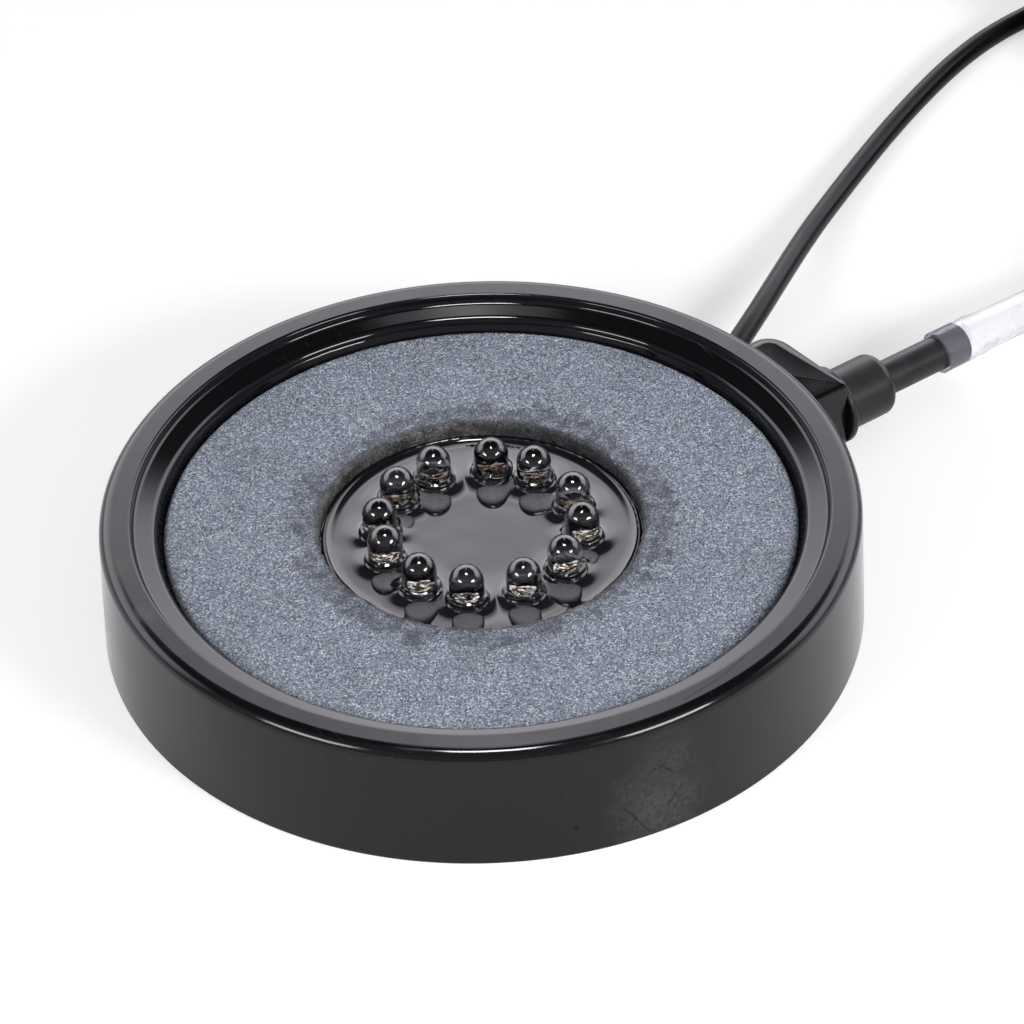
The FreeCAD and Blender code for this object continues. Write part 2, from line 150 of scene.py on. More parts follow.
class StageSettings(PropertyGroup):
    lens: FloatProperty(name="Lens", description="Focal length for a 36 mm sensor", default=193.36,
                        unit="CAMERA")
    distance: size("Distance", "Camera to the point looked at", 790.6)
    tilt: FloatProperty(name="Elevation", description="Camera above the horizon",
                        default=math.radians(38.78), subtype="ANGLE", unit="ROTATION")
    roll: FloatProperty(name="Roll", description="Camera turned about its own axis",
                        default=math.radians(-2.124), subtype="ANGLE", unit="ROTATION")
    floor: colour("Floor", "Floor as light falls on it", (0.84, 0.84, 0.85))


def settings():
    return bpy.context.scene.air_stone


class AirStoneSettings(PropertyGroup):
    stone: PointerProperty(type=StoneSettings, name="Grit ring", description="Grit ring")
    well: PointerProperty(type=WellSettings, name="Well", description="Resin and lamps")
    lines: PointerProperty(type=LineSettings, name="Lines", description="Hose and lead")
    body: PointerProperty(type=BodySettings, name="Body", description="Mouldings and glue")
    stage: PointerProperty(type=StageSettings, name="Stage", description="Camera and floor")


# Shader building


def add(tree, kind, inputs=None, **options):
    """A node with its options set, and its inputs set or linked."""
    node = tree.nodes.new(kind)
    for key, value in options.items():
        setattr(node, key, value)
    for key, value in (inputs or {}).items():
        if isinstance(value, bpy.types.NodeSocket):
            tree.links.new(value, node.inputs[key])
        else:
            node.inputs[key].default_value = value
    return node


def maths(tree, operation, a, b=0.5, clamp=False):
    return add(tree, "ShaderNodeMath", {0: a, 1: b}, operation=operation, use_clamp=clamp).outputs[0]


def spread(tree, value, low, high, to_low=0.0, to_high=1.0):
    """Maps low..high to to_low..to_high, held at both ends, with a soft start and end."""
    node = add(tree, "ShaderNodeMapRange", {"Value": value, "From Min": low, "From Max": high,
                                            "To Min": to_low, "To Max": to_high},
               interpolation_type="SMOOTHSTEP")
    return node.outputs["Result"]


def blend(tree, factor, first, second, mode="MIX"):
    node = add(tree, "ShaderNodeMix", data_type="RGBA", blend_type=mode)
    for key, value in ((0, factor), (6, first), (7, second)):
        if isinstance(value, bpy.types.NodeSocket):
            tree.links.new(value, node.inputs[key])
        elif key == 0:
            node.inputs[key].default_value = value
        else:
            node.inputs[key].default_value = (*value[:3], 1.0)
    return node.outputs[2]


def ramp(tree, value, stops):
    node = add(tree, "ShaderNodeValToRGB", {"Fac": value})
    elements = node.color_ramp.elements
    while len(elements) < len(stops):
        elements.new(0.5)
    for element, (position, shade) in zip(elements, stops):
        element.position = position
        element.color = (*shade[:3], 1.0)
    return node.outputs["Color"]


def place_of(tree, mapping=None):
    """Object coordinates, turned and stretched if mapping says so."""
    coords = add(tree, "ShaderNodeTexCoord").outputs["Object"]
    if not mapping:
        return coords
    return add(tree, "ShaderNodeMapping", {"Vector": coords, **mapping}).outputs["Vector"]


def shader_group(name, inputs, outputs, build):
    """A shader node group, built once. build(tree, inputs) returns the output sockets."""
    tree = bpy.data.node_groups.get(name)
    if tree:
        return tree
    tree = bpy.data.node_groups.new(name, "ShaderNodeTree")
    for socket, kind, default in inputs:
        made = tree.interface.new_socket(socket, in_out="INPUT", socket_type=kind)
        if default is not None:
            made.default_value = default
    for socket, kind in outputs:
        tree.interface.new_socket(socket, in_out="OUTPUT", socket_type=kind)
    start = tree.nodes.new("NodeGroupInput")
    end = tree.nodes.new("NodeGroupOutput")
    for (socket, _), made in zip(outputs, build(tree, start.outputs)):
        tree.links.new(made, end.inputs[socket])
    return tree


def grouped(tree, group, inputs):
    node = tree.nodes.new("ShaderNodeGroup")
    node.node_tree = group
    for key, value in inputs.items():
        if isinstance(value, bpy.types.NodeSocket):
            tree.links.new(value, node.inputs[key])
        else:
            node.inputs[key].default_value = value
    return node.outputs


def hairlines():
    """Fine straight scratches in three directions, as a mask."""
    def build(tree, given):
        total = None
        for turn in (0.4, 1.5, 2.6):
            turned = add(tree, "ShaderNodeMapping", {
                "Vector": given["Vector"], "Rotation": (0.3 * turn, 0.2, turn),
                "Scale": (1.0, 0.035, 0.6)}).outputs["Vector"]
            lines = add(tree, "ShaderNodeTexNoise", {
                "Vector": turned, "Scale": given["Scale"], "Detail": 2.0}).outputs["Fac"]
            line = spread(tree, lines, 0.70, 0.78)
            total = maths(tree, "MAXIMUM", total, line) if total else line
        patches = add(tree, "ShaderNodeTexNoise", {
            "Vector": given["Vector"], "Scale": 90.0, "Detail": 2.0}).outputs["Fac"]
        shown = spread(tree, patches, 0.45, 0.62)
        return [maths(tree, "MULTIPLY", maths(tree, "MULTIPLY", total, shown), given["Amount"])]
    return shader_group(
        "Hairline Marks",
        [("Vector", "NodeSocketVector", None), ("Scale", "NodeSocketFloat", 2600.0),
         ("Amount", "NodeSocketFloat", 1.0)],
        [("Mask", "NodeSocketFloat")], build)


def soft_spot():
    """Ragged patch round a point, as a mask."""
    def build(tree, given):
        away = add(tree, "ShaderNodeVectorMath", {0: given["Vector"], 1: given["Centre"]},
                   operation="DISTANCE").outputs["Value"]
        cloud = add(tree, "ShaderNodeTexNoise", {
            "Vector": given["Vector"], "Scale": given["Raggedness"], "Detail": 5.0}).outputs["Fac"]
        bent = maths(tree, "ADD", maths(tree, "DIVIDE", away, given["Radius"]), cloud)
        return [spread(tree, bent, 1.75, 0.55)]
    return shader_group(
        "Soft Spot",
        [("Vector", "NodeSocketVector", None), ("Centre", "NodeSocketVector", None),
         ("Radius", "NodeSocketFloat", 0.01), ("Raggedness", "NodeSocketFloat", 200.0)],
        [("Mask", "NodeSocketFloat")], build)


def stroke():
    """Thin line from one point to another, as a mask with wavy edges."""
    def build(tree, given):
        def vector(operation, a, b, output="Vector"):
            return add(tree, "ShaderNodeVectorMath", {0: a, 1: b},
                       operation=operation).outputs[output]
        run = vector("SUBTRACT", given["End"], given["Start"])
        away = vector("SUBTRACT", given["Vector"], given["Start"])
        share = maths(tree, "DIVIDE", vector("DOT_PRODUCT", away, run, "Value"),
                      vector("DOT_PRODUCT", run, run, "Value"), clamp=True)
        nearest = add(tree, "ShaderNodeVectorMath", {0: run, "Scale": share},
                      operation="SCALE").outputs["Vector"]
        gap = vector("DISTANCE", away, nearest, "Value")
        wave = add(tree, "ShaderNodeTexNoise", {
            "Vector": given["Vector"], "Scale": 900.0, "Detail": 2.0}).outputs["Fac"]
        bent = maths(tree, "ADD", maths(tree, "DIVIDE", gap, given["Width"]), wave)
        return [spread(tree, bent, 1.25, 0.75)]
    return shader_group(
        "Stroke",
        [("Vector", "NodeSocketVector", None), ("Start", "NodeSocketVector", None),
         ("End", "NodeSocketVector", None), ("Width", "NodeSocketFloat", 0.0003)],
        [("Mask", "NodeSocketFloat")], build)


def strokes_mask(tree, where, lines):
    """Mask of several strokes, each given as two points and a width in millimetres."""
    total = None
    for start, end, width in lines:
        mask = grouped(tree, stroke(), {"Vector": where, "Start": Vector(start) * MM,
                                        "End": Vector(end) * MM, "Width": width * MM})["Mask"]
        total = maths(tree, "MAXIMUM", total, mask) if total else mask
    return total


def moulding_grain():
    """Slight waves and grain of a moulded face: a height and an uneven gloss."""
    def build(tree, given):
        waves = add(tree, "ShaderNodeTexNoise", {
            "Vector": given["Vector"], "Scale": given["Wave Scale"], "Detail": 1.0}).outputs["Fac"]
        grain = add(tree, "ShaderNodeTexNoise", {
            "Vector": given["Vector"], "Scale": given["Grain Scale"], "Detail": 3.0}).outputs["Fac"]
        height = maths(tree, "ADD", maths(tree, "MULTIPLY", waves, given["Waves"]),
                       maths(tree, "MULTIPLY", grain, given["Grain"]))
        uneven = add(tree, "ShaderNodeTexNoise", {
            "Vector": given["Vector"], "Scale": 160.0, "Detail": 4.0}).outputs["Fac"]
        return [height, spread(tree, uneven, 0.3, 0.7)]
    return shader_group(
        "Moulding Grain",
        [("Vector", "NodeSocketVector", None), ("Wave Scale", "NodeSocketFloat", 60.0),
         ("Waves", "NodeSocketFloat", 0.5), ("Grain Scale", "NodeSocketFloat", 4000.0),
         ("Grain", "NodeSocketFloat", 0.02)],
        [("Height", "NodeSocketFloat"), ("Uneven", "NodeSocketFloat")], build)


def bonded_grit():
    """Packed grains: a random number and shade for each, and their rounded tops."""
    def build(tree, given):
        cells = add(tree, "ShaderNodeTexVoronoi", {
            "Vector": given["Vector"], "Scale": given["Scale"], "Randomness": 1.0})
        parts = add(tree, "ShaderNodeSeparateColor", {"Color": cells.outputs["Color"]})
        crumbs = add(tree, "ShaderNodeTexNoise", {
            "Vector": given["Vector"], "Scale": maths(tree, "MULTIPLY", given["Scale"], 1.7),
            "Detail": 2.0}).outputs["Fac"]
        top = spread(tree, cells.outputs["Distance"], 0.75, 0.1)
        raised = maths(tree, "ADD", top, maths(tree, "MULTIPLY", parts.outputs["Green"], 0.9))
        height = maths(tree, "ADD", raised, crumbs)
        shade = maths(tree, "ADD", maths(tree, "MULTIPLY", parts.outputs["Red"], 0.72),
                      maths(tree, "MULTIPLY", crumbs, 0.28))
        return [shade, parts.outputs["Blue"], height]
    return shader_group(
        "Bonded Grit",
        [("Vector", "NodeSocketVector", None), ("Scale", "NodeSocketFloat", 3000.0)],
        [("Shade", "NodeSocketFloat"), ("Pick", "NodeSocketFloat"), ("Height", "NodeSocketFloat")],
        build)


def finish_of(name, **constants):
    """A material with its Principled BSDF. Constants are named after the sockets."""
    material = bpy.data.materials.new(name)
    material.use_nodes = True
    tree = material.node_tree
    bsdf = tree.nodes["Principled BSDF"]
    for key, value in constants.items():
        bsdf.inputs[key.replace("_", " ")].default_value = value
    return material, tree, bsdf


def bumped(tree, bsdf, height, distance, strength=1.0):
    bump = add(tree, "ShaderNodeBump", {"Height": height, "Distance": distance,
                                        "Strength": strength})
    tree.links.new(bump.outputs["Normal"], bsdf.inputs["Normal"])


def moulded_black(name, gloss, marks=1.0, waves=0.5, scuffs=(), cuts=(), wet_inside=0.0):
    """Black moulded plastic. gloss is its lowest and highest roughness, cuts are dark
    scratches, and wet_inside is the radius in millimetres within which it is shinier."""
    material, tree, bsdf = finish_of(name, IOR=1.34)
    where = place_of(tree)
    body = settings().body
    surface = grouped(tree, moulding_grain(), {"Vector": where, "Waves": waves})
    scratches = grouped(tree, hairlines(), {"Vector": where, "Amount": marks})["Mask"]
    rough = spread(tree, surface["Uneven"], 0.0, 1.0, *gloss)
    if wet_inside:
        parts = add(tree, "ShaderNodeSeparateXYZ", {"Vector": where}).outputs
        flat = add(tree, "ShaderNodeCombineXYZ", {"X": parts["X"], "Y": parts["Y"]}).outputs[0]
        radius = add(tree, "ShaderNodeVectorMath", {0: flat}, operation="LENGTH").outputs["Value"]
        inside = spread(tree, radius, (wet_inside + 0.1) * MM, (wet_inside - 0.1) * MM)
        rough = maths(tree, "MULTIPLY", rough, maths(tree, "SUBTRACT", 1.0, maths(
            tree, "MULTIPLY", inside, 0.6)))
    rough = maths(tree, "ADD", rough, maths(tree, "MULTIPLY", scratches, 0.14))
    shade = blend(tree, maths(tree, "MULTIPLY", scratches, 0.25), tuple(body.black),
                  (0.10, 0.10, 0.105))
    for centre, radius, ragged, tint, dull in scuffs:
        spot = grouped(tree, soft_spot(), {
            "Vector": where, "Centre": Vector(centre) * MM, "Radius": radius * MM,
            "Raggedness": ragged})["Mask"]
        crackle = add(tree, "ShaderNodeTexNoise", {
            "Vector": where, "Scale": 1500.0, "Detail": 4.0, "Roughness": 0.7,
            "Distortion": 0.5}).outputs["Fac"]
        worn = ramp(tree, crackle, ((0.36, [0.45 * c for c in tint]), (0.66, [1.9 * c for c in tint])))
        shade = blend(tree, spot, shade, worn)
        rough = maths(tree, "ADD", rough, maths(tree, "MULTIPLY", spot, dull))
    if cuts:
        cut = strokes_mask(tree, where, cuts)
        shade = blend(tree, maths(tree, "MULTIPLY", cut, 0.6), shade, (0.003, 0.003, 0.003))
        rough = maths(tree, "ADD", rough, maths(tree, "MULTIPLY", cut, 0.25))
        tree.links.new(maths(tree, "SUBTRACT", 0.5, maths(tree, "MULTIPLY", cut, 0.22)),
                       bsdf.inputs["Specular IOR Level"])
    tree.links.new(shade, bsdf.inputs["Base Color"])
    tree.links.new(rough, bsdf.inputs["Roughness"])
    bumped(tree, bsdf, surface["Height"], 0.00012, 0.6)
    return material


def grit_finish():
    """Blue-grey bonded grit with pale and dark grains, darker where glue has soaked in."""
    stone = settings().stone
    material, tree, bsdf = finish_of("bonded_grit", IOR=1.5)
    where = place_of(tree)
    grit = grouped(tree, bonded_grit(), {"Vector": where, "Scale": 1.0 / stone.grain})
    dark, middle, pale = tuple(stone.dark), tuple(stone.middle), tuple(stone.pale)
    shade = ramp(tree, grit["Shade"], (
        (0.15, (0.015, 0.018, 0.026)), (0.25, dark), (0.42, middle), (0.71, pale),
        (0.86, (0.78, 0.82, 0.88))))
    rust = spread(tree, grit["Pick"], 0.9972, 0.998)
    shade = blend(tree, rust, shade, (0.30, 0.20, 0.12))
    mottle = add(tree, "ShaderNodeTexNoise", {"Vector": where, "Scale": 110.0,
                                              "Detail": 4.0}).outputs["Fac"]
    shade = blend(tree, 1.0, shade, ramp(tree, mottle, (
        (0.3, (0.86, 0.86, 0.86)), (0.7, (1.12, 1.12, 1.12)))), "MULTIPLY")
    parts = add(tree, "ShaderNodeSeparateXYZ", {"Vector": where}).outputs
    flat = add(tree, "ShaderNodeCombineXYZ", {"X": parts["X"], "Y": parts["Y"]}).outputs[0]
    radius = add(tree, "ShaderNodeVectorMath", {0: flat}, operation="LENGTH").outputs["Value"]
    cloud = add(tree, "ShaderNodeTexNoise", {"Vector": where, "Scale": 240.0,
                                             "Detail": 6.0, "Roughness": 0.66}).outputs["Fac"]
    wander = maths(tree, "MULTIPLY", maths(tree, "SUBTRACT", cloud, 0.5), 0.012)
    reach = maths(tree, "ADD", radius, wander)
    edge = stone.bore + stone.stain
    stained = spread(tree, reach, edge + 0.0006, edge - 0.0008)
    blotch = add(tree, "ShaderNodeTexNoise", {"Vector": where, "Scale": 520.0,
                                              "Detail": 4.0}).outputs["Fac"]
    soaked = ramp(tree, blotch, ((0.38, (0.30, 0.30, 0.31)), (0.60, (0.76, 0.76, 0.78))))
    shade = blend(tree, stained, shade, blend(tree, 1.0, shade, soaked, "MULTIPLY"))
    crumbled = maths(tree, "ADD", radius, maths(
        tree, "MULTIPLY", maths(tree, "SUBTRACT", grit["Shade"], 0.5), 0.0009))
    inside = spread(tree, crumbled, stone.bore + 0.00042, stone.bore + 0.00030)
    to_side = maths(tree, "SUBTRACT", maths(tree, "MULTIPLY", parts["X"], math.cos(VIEW_TURN)),
                    maths(tree, "MULTIPLY", parts["Y"], math.sin(VIEW_TURN)))
    crust = blend(tree, spread(tree, to_side, 0.009, -0.004),
                  ramp(tree, blotch, ((0.35, (0.005, 0.005, 0.006)), (0.66, (0.022, 0.021, 0.022)))),
                  ramp(tree, blotch, ((0.35, (0.014, 0.013, 0.013)), (0.66, (0.10, 0.090, 0.084)))))
    crust = blend(tree, 1.0, crust, ramp(tree, grit["Shade"], (
        (0.25, (0.15, 0.15, 0.15)), (0.75, (2.4, 2.4, 2.4)))), "MULTIPLY")
    shade = blend(tree, maths(tree, "MULTIPLY", inside, 0.92), shade, crust)
    brink = spread(tree, maths(tree, "ADD", radius, maths(tree, "MULTIPLY", wander, 0.35)),
                   stone.bore + 0.0011, stone.bore + 0.0004)
    lip = maths(tree, "MULTIPLY", brink, maths(tree, "SUBTRACT", 1.0, inside))
    shade = blend(tree, maths(tree, "MULTIPLY", lip, 0.72), shade, (0.016, 0.016, 0.018))
    fleck = grouped(tree, soft_spot(), {
        "Vector": where, "Centre": Vector((1.4, 30.3, 15.9)) * MM, "Radius": 1.1 * MM,
        "Raggedness": 1200.0})["Mask"]
    shade = blend(tree, maths(tree, "MULTIPLY", fleck, 0.6), shade, (0.36, 0.26, 0.17))
    smear = strokes_mask(tree, where, (
        ((34.3, 32.2, 15.9), (36.2, 29.8, 15.9), 0.25), ((36.2, 29.8, 15.9), (37.5, 26.9, 15.9), 0.2)))
    shade = blend(tree, maths(tree, "MULTIPLY", smear, 0.7), shade, (0.05, 0.055, 0.07))
    tree.links.new(shade, bsdf.inputs["Base Color"])
    tree.links.new(spread(tree, grit["Pick"], 0.0, 1.0, 0.45, 0.95), bsdf.inputs["Roughness"])
    bumped(tree, bsdf, grit["Height"], 0.00016, 0.8)
    return material


def resin_finish():
    well = settings().well
    material, tree, bsdf = finish_of("cast_resin", Base_Color=(*well.resin, 1.0), IOR=1.46)
    where = place_of(tree)
    waves = grouped(tree, moulding_grain(), {
        "Vector": where, "Wave Scale": 110.0, "Waves": 1.0, "Grain": 0.0})
    tree.links.new(spread(tree, waves["Uneven"], 0.0, 1.0, 0.02, 0.06), bsdf.inputs["Roughness"])
    bumped(tree, bsdf, waves["Height"], 0.00010, 0.5)
    return material


def lens_finish():
    well = settings().well
    material, tree, bsdf = finish_of("clear_epoxy", Transmission_Weight=1.0, IOR=1.52)
    where = place_of(tree)
    smear = add(tree, "ShaderNodeTexNoise", {"Vector": where, "Scale": 420.0,
                                             "Detail": 3.0}).outputs["Fac"]
    tint = tuple(well.clear)
    tree.links.new(blend(tree, spread(tree, smear, 0.35, 0.7), tint, [0.9 * c for c in tint]),
                   bsdf.inputs["Base Color"])
    tree.links.new(spread(tree, smear, 0.3, 0.8, 0.0, 0.05), bsdf.inputs["Roughness"])
    return material


def metal_with_painted_streaks():
    """Plated metal seen through a lens, with painted highlights and painted shade: thin bright streaks
    between dark ones, and a darker colour in the lamps further back.
    """
    well = settings().well
    material, tree, bsdf = finish_of("lead_frame", Metallic=1.0)
    where = place_of(tree, {"Scale": (1.0, 1.0, 4.0)})
    streaks = add(tree, "ShaderNodeTexNoise", {"Vector": where, "Scale": 1100.0,
                                               "Detail": 4.0, "Roughness": 0.65}).outputs["Fac"]
    tint = tuple(well.metal)
    # Painted highlights and painted shade: the metal's colour runs from near black to white in thin
    # streaks, standing in for glints of light seen through the lens
    shade = ramp(tree, streaks, (
        (0.44, (0.02, 0.016, 0.012)), (0.51, [0.55 * c for c in tint]), (0.58, (1.0, 0.97, 0.90))))
    # Painted shade: the metal's colour darkens towards the back of the disc, away from the camera
    parts = add(tree, "ShaderNodeSeparateXYZ", {"Vector": place_of(tree)}).outputs
    depth = maths(tree, "ADD", maths(tree, "MULTIPLY", parts["X"], math.sin(VIEW_TURN)),
                  maths(tree, "MULTIPLY", parts["Y"], math.cos(VIEW_TURN)))
    tree.links.new(blend(tree, spread(tree, depth, -0.006, 0.006), shade,
                         [0.16 * c for c in tint]), bsdf.inputs["Base Color"])
    tree.links.new(spread(tree, streaks, 0.4, 0.7, 0.22, 0.10), bsdf.inputs["Roughness"])
    bumped(tree, bsdf, streaks, 0.0002)
    return material


def plated(name, shade, rough, relief=0.0):
    material, tree, bsdf = finish_of(name, Metallic=1.0)
    where = place_of(tree)
    brushed = add(tree, "ShaderNodeTexNoise", {"Vector": where, "Scale": 2600.0,
                                               "Detail": 3.0}).outputs["Fac"]
    tree.links.new(blend(tree, brushed, shade, [0.8 * c for c in shade]),
                   bsdf.inputs["Base Color"])
    tree.links.new(spread(tree, brushed, 0.3, 0.7, *rough), bsdf.inputs["Roughness"])
    if relief:
        bumped(tree, bsdf, brushed, relief)
    return material


def vinyl_finish():
    """Clear soft hose: nearly clear, a little milky."""
    lines = settings().lines
    material, tree, bsdf = finish_of("clear_vinyl", Transmission_Weight=0.90, IOR=1.32)
    where = place_of(tree)
    haze = add(tree, "ShaderNodeTexNoise", {"Vector": where, "Scale": 70.0,
                                            "Detail": 2.0}).outputs["Fac"]
    tint = tuple(lines.vinyl)
    clear = blend(tree, haze, tint, [0.985 * c for c in tint])
    along = add(tree, "ShaderNodeSeparateXYZ", {"Vector": where}).outputs["X"]
    over = spread(tree, along, lines.pipe_end + 0.0008, lines.pipe_end - 0.0004)
    tree.links.new(blend(tree, over, clear, (0.88, 0.86, 1.0)), bsdf.inputs["Base Color"])
    dull = spread(tree, haze, 0.3, 0.7, 0.26, 0.36)
    rough = maths(tree, "SUBTRACT", dull, maths(tree, "MULTIPLY", over, 0.22))
    tree.links.new(rough, bsdf.inputs["Roughness"])
    return material


def sheath_finish(name, shade, rough, ior=1.42):
    """Satin flexible plastic with faint unevenness."""
    material, tree, bsdf = finish_of(name, IOR=ior)
    where = place_of(tree)
    surface = grouped(tree, moulding_grain(), {
        "Vector": where, "Wave Scale": 200.0, "Waves": 0.3, "Grain": 0.12})
    tree.links.new(blend(tree, surface["Uneven"], shade, [1.3 * c for c in shade]),
                   bsdf.inputs["Base Color"])
    tree.links.new(spread(tree, surface["Uneven"], 0.0, 1.0, *rough), bsdf.inputs["Roughness"])
    bumped(tree, bsdf, surface["Height"], 0.00010, 0.5)
    return material


def laminate_finish():
    material, tree, bsdf = finish_of("board_laminate", Roughness=0.45)
    where = place_of(tree)
    weave = add(tree, "ShaderNodeTexNoise", {"Vector": where, "Scale": 900.0}).outputs["Fac"]
    tree.links.new(blend(tree, weave, (0.02, 0.10, 0.04), (0.03, 0.14, 0.06)),
                   bsdf.inputs["Base Color"])
    return material


# Mesh building


def rounded(corners, segments=6, closed=False, guard=0.0):
    """(a, b, round) corners as a list of points, with each rounded corner cut by an arc.
    guard adds a point that far before and after each arc, so that flats shade flat."""
    points = []
    count = len(corners)
    for i, corner in enumerate(corners):
        here = Vector(corner[:2])
        radius = corner[2] if len(corner) > 2 else 0.0
        if radius <= 0 or (not closed and i in (0, count - 1)):
            points.append(here)
            continue
        back = (Vector(corners[i - 1][:2]) - here).normalized()
        ahead = (Vector(corners[(i + 1) % count][:2]) - here).normalized()
        half = back.angle(ahead) / 2
        centre = here + (back + ahead).normalized() * (radius / math.sin(half))
        start = here + back * (radius / math.tan(half)) - centre
        sweep = math.pi - 2 * half
        if back.cross(ahead) > 0:
            sweep = -sweep
        if guard:
            points.append(centre + start + back * guard)
        for k in range(segments + 1):
            points.append(centre + Matrix.Rotation(sweep * k / segments, 2) @ start)
        if guard:
            points.append(points[-1] + ahead * guard)
    return points


def turned_mesh(profile, steps, closed=False):
    """Solid of revolution about Z from a profile of (radius, height) points."""
    bm = bmesh.new()
    verts = [bm.verts.new((p[0], 0.0, p[1])) for p in profile]
    pairs = list(zip(verts, verts[1:])) + ([(verts[-1], verts[0])] if closed else [])
    edges = [bm.edges.new(pair) for pair in pairs]
    bmesh.ops.spin(bm, geom=verts + edges, cent=(0, 0, 0), axis=(0, 0, 1), dvec=(0, 0, 0),
                   angle=2 * math.pi, steps=steps, use_merge=True, use_duplicate=False)
    bmesh.ops.remove_doubles(bm, verts=bm.verts, dist=1e-7)
    bmesh.ops.recalc_face_normals(bm, faces=bm.faces)
    return bm


def joined(bm, extra):
    """Adds one mesh to another and frees it."""
    scrap = bpy.data.meshes.new("scrap")
    extra.to_mesh(scrap)
    extra.free()
    bm.from_mesh(scrap)
    bpy.data.meshes.remove(scrap)


def piece(name, bm, material, slot, *nodes, sharp=40.0):
    """Finishes a mesh as a piece of the object that stands for the named solids."""
    mesh = bpy.data.meshes.new(name)
    bm.to_mesh(mesh)
    bm.free()
    mesh.shade_smooth()
    mesh.set_sharp_from_angle(angle=math.radians(sharp))
    mesh.materials.append(material)
    made = bpy.data.objects.new(name, mesh)
    bpy.context.scene.collection.objects.link(made)
    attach(made, BODY)
    if nodes:
        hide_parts(*nodes)
    return made


def dress(material, *names):
    """Gives CAD nodes their finish."""
    for name in names:
        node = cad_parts[name]
        node.data.materials.clear()
        node.data.materials.append(material)


def centre_of(node):
    low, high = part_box(node)
    return (low + high) / 2


def lines_through(points):
    """Points along the NURBS spline that has the given control points, in metres."""
    curve = spline_curve("route", points)
    holder = bpy.data.objects.new("route", curve)
    bpy.context.scene.collection.objects.link(holder)
    bpy.context.view_layer.update()
    depsgraph = bpy.context.evaluated_depsgraph_get()
    mesh = bpy.data.meshes.new_from_object(holder.evaluated_get(depsgraph))
    path = [v.co.copy() for v in mesh.vertices]
    bpy.data.objects.remove(holder)
    bpy.data.curves.remove(curve)
    bpy.data.meshes.remove(mesh)
    return path


def spline_curve(name, points):
    curve = bpy.data.curves.new(name, "CURVE")
    curve.dimensions = "3D"
    spline = curve.splines.new("NURBS")
    spline.points.add(len(points) - 1)
    for point, place in zip(spline.points, points):
        point.co = (*(Vector(place) * MM), 1.0)
    spline.order_u = 3
    spline.use_endpoint_u = True
    curve.resolution_u = 6
    return curve


def wound(x, top_y, out_r, in_r, turns, layers, pitch, per_turn=16):
    """Control points of a coil wound in and out layer by layer, clockwise from (x, top_y)."""
    centre_y = top_y - out_r
    swell = 1.0 / math.cos(math.pi / per_turn)
    points = []
    for layer in range(layers):
        first, last = (out_r, in_r) if layer % 2 == 0 else (in_r, out_r)
        for k in range(turns * per_turn):
            turn = k / per_turn
            share = max(0.0, (turn - 0.25) / (turns - 0.25))
            radius = (first + (last - first) * share) * swell
            rise = min(1.0, turn / 0.25) if layer else 1.0
            z = pitch * (0.5 + layer - 1 + rise)
            angle = math.pi / 2 - 2 * math.pi * turn
            points.append((x + radius * math.cos(angle), centre_y + radius * math.sin(angle), z))
    points.append((x, top_y, pitch * (layers - 0.5)))
    return points


def hose_mesh(path, outer_at, bore_at, sides):
    """Tube with a wall that follows path. outer_at and bore_at give radii by distance."""
    bm = bmesh.new()
    rings = []
    travelled = 0.0
    normal = None
    for i, point in enumerate(path):
        ahead = (path[min(i + 1, len(path) - 1)] - path[max(i - 1, 0)]).normalized()
        side = (UP if normal is None else normal)
        side = (side - ahead * side.dot(ahead)).normalized()
        normal = side
        across = ahead.cross(side)
        if i:
            travelled += (point - path[i - 1]).length
        ring = []
        for radius in (outer_at(travelled), bore_at(travelled)):
            ring.append([bm.verts.new(point + radius * (
                math.cos(2 * math.pi * k / sides) * side + math.sin(2 * math.pi * k / sides) * across))
                for k in range(sides)])
        rings.append(ring)
    for before, after in zip(rings, rings[1:]):
        for wall in (0, 1):
            for k in range(sides):
                n = (k + 1) % sides
                quad = (before[wall][k], before[wall][n], after[wall][n], after[wall][k])
                bm.faces.new(quad if wall == 0 else quad[::-1])
    for ring, flip in ((rings[0], False), (rings[-1], True)):
        for k in range(sides):
            n = (k + 1) % sides
            quad = (ring[0][k], ring[1][k], ring[1][n], ring[0][n])
            bm.faces.new(quad[::-1] if flip else quad)
    return bm


def roughened(verts, amount, scale, direction=None, seed=0.0):
    """Moves vertices by smooth noise, along a direction or their own normals."""
    for v in verts:
        shift = noise.noise(v.co * scale + Vector((seed, -seed, seed))) * amount
        v.co += (direction or v.normal) * shift


# Operators, one for each piece or group of like pieces


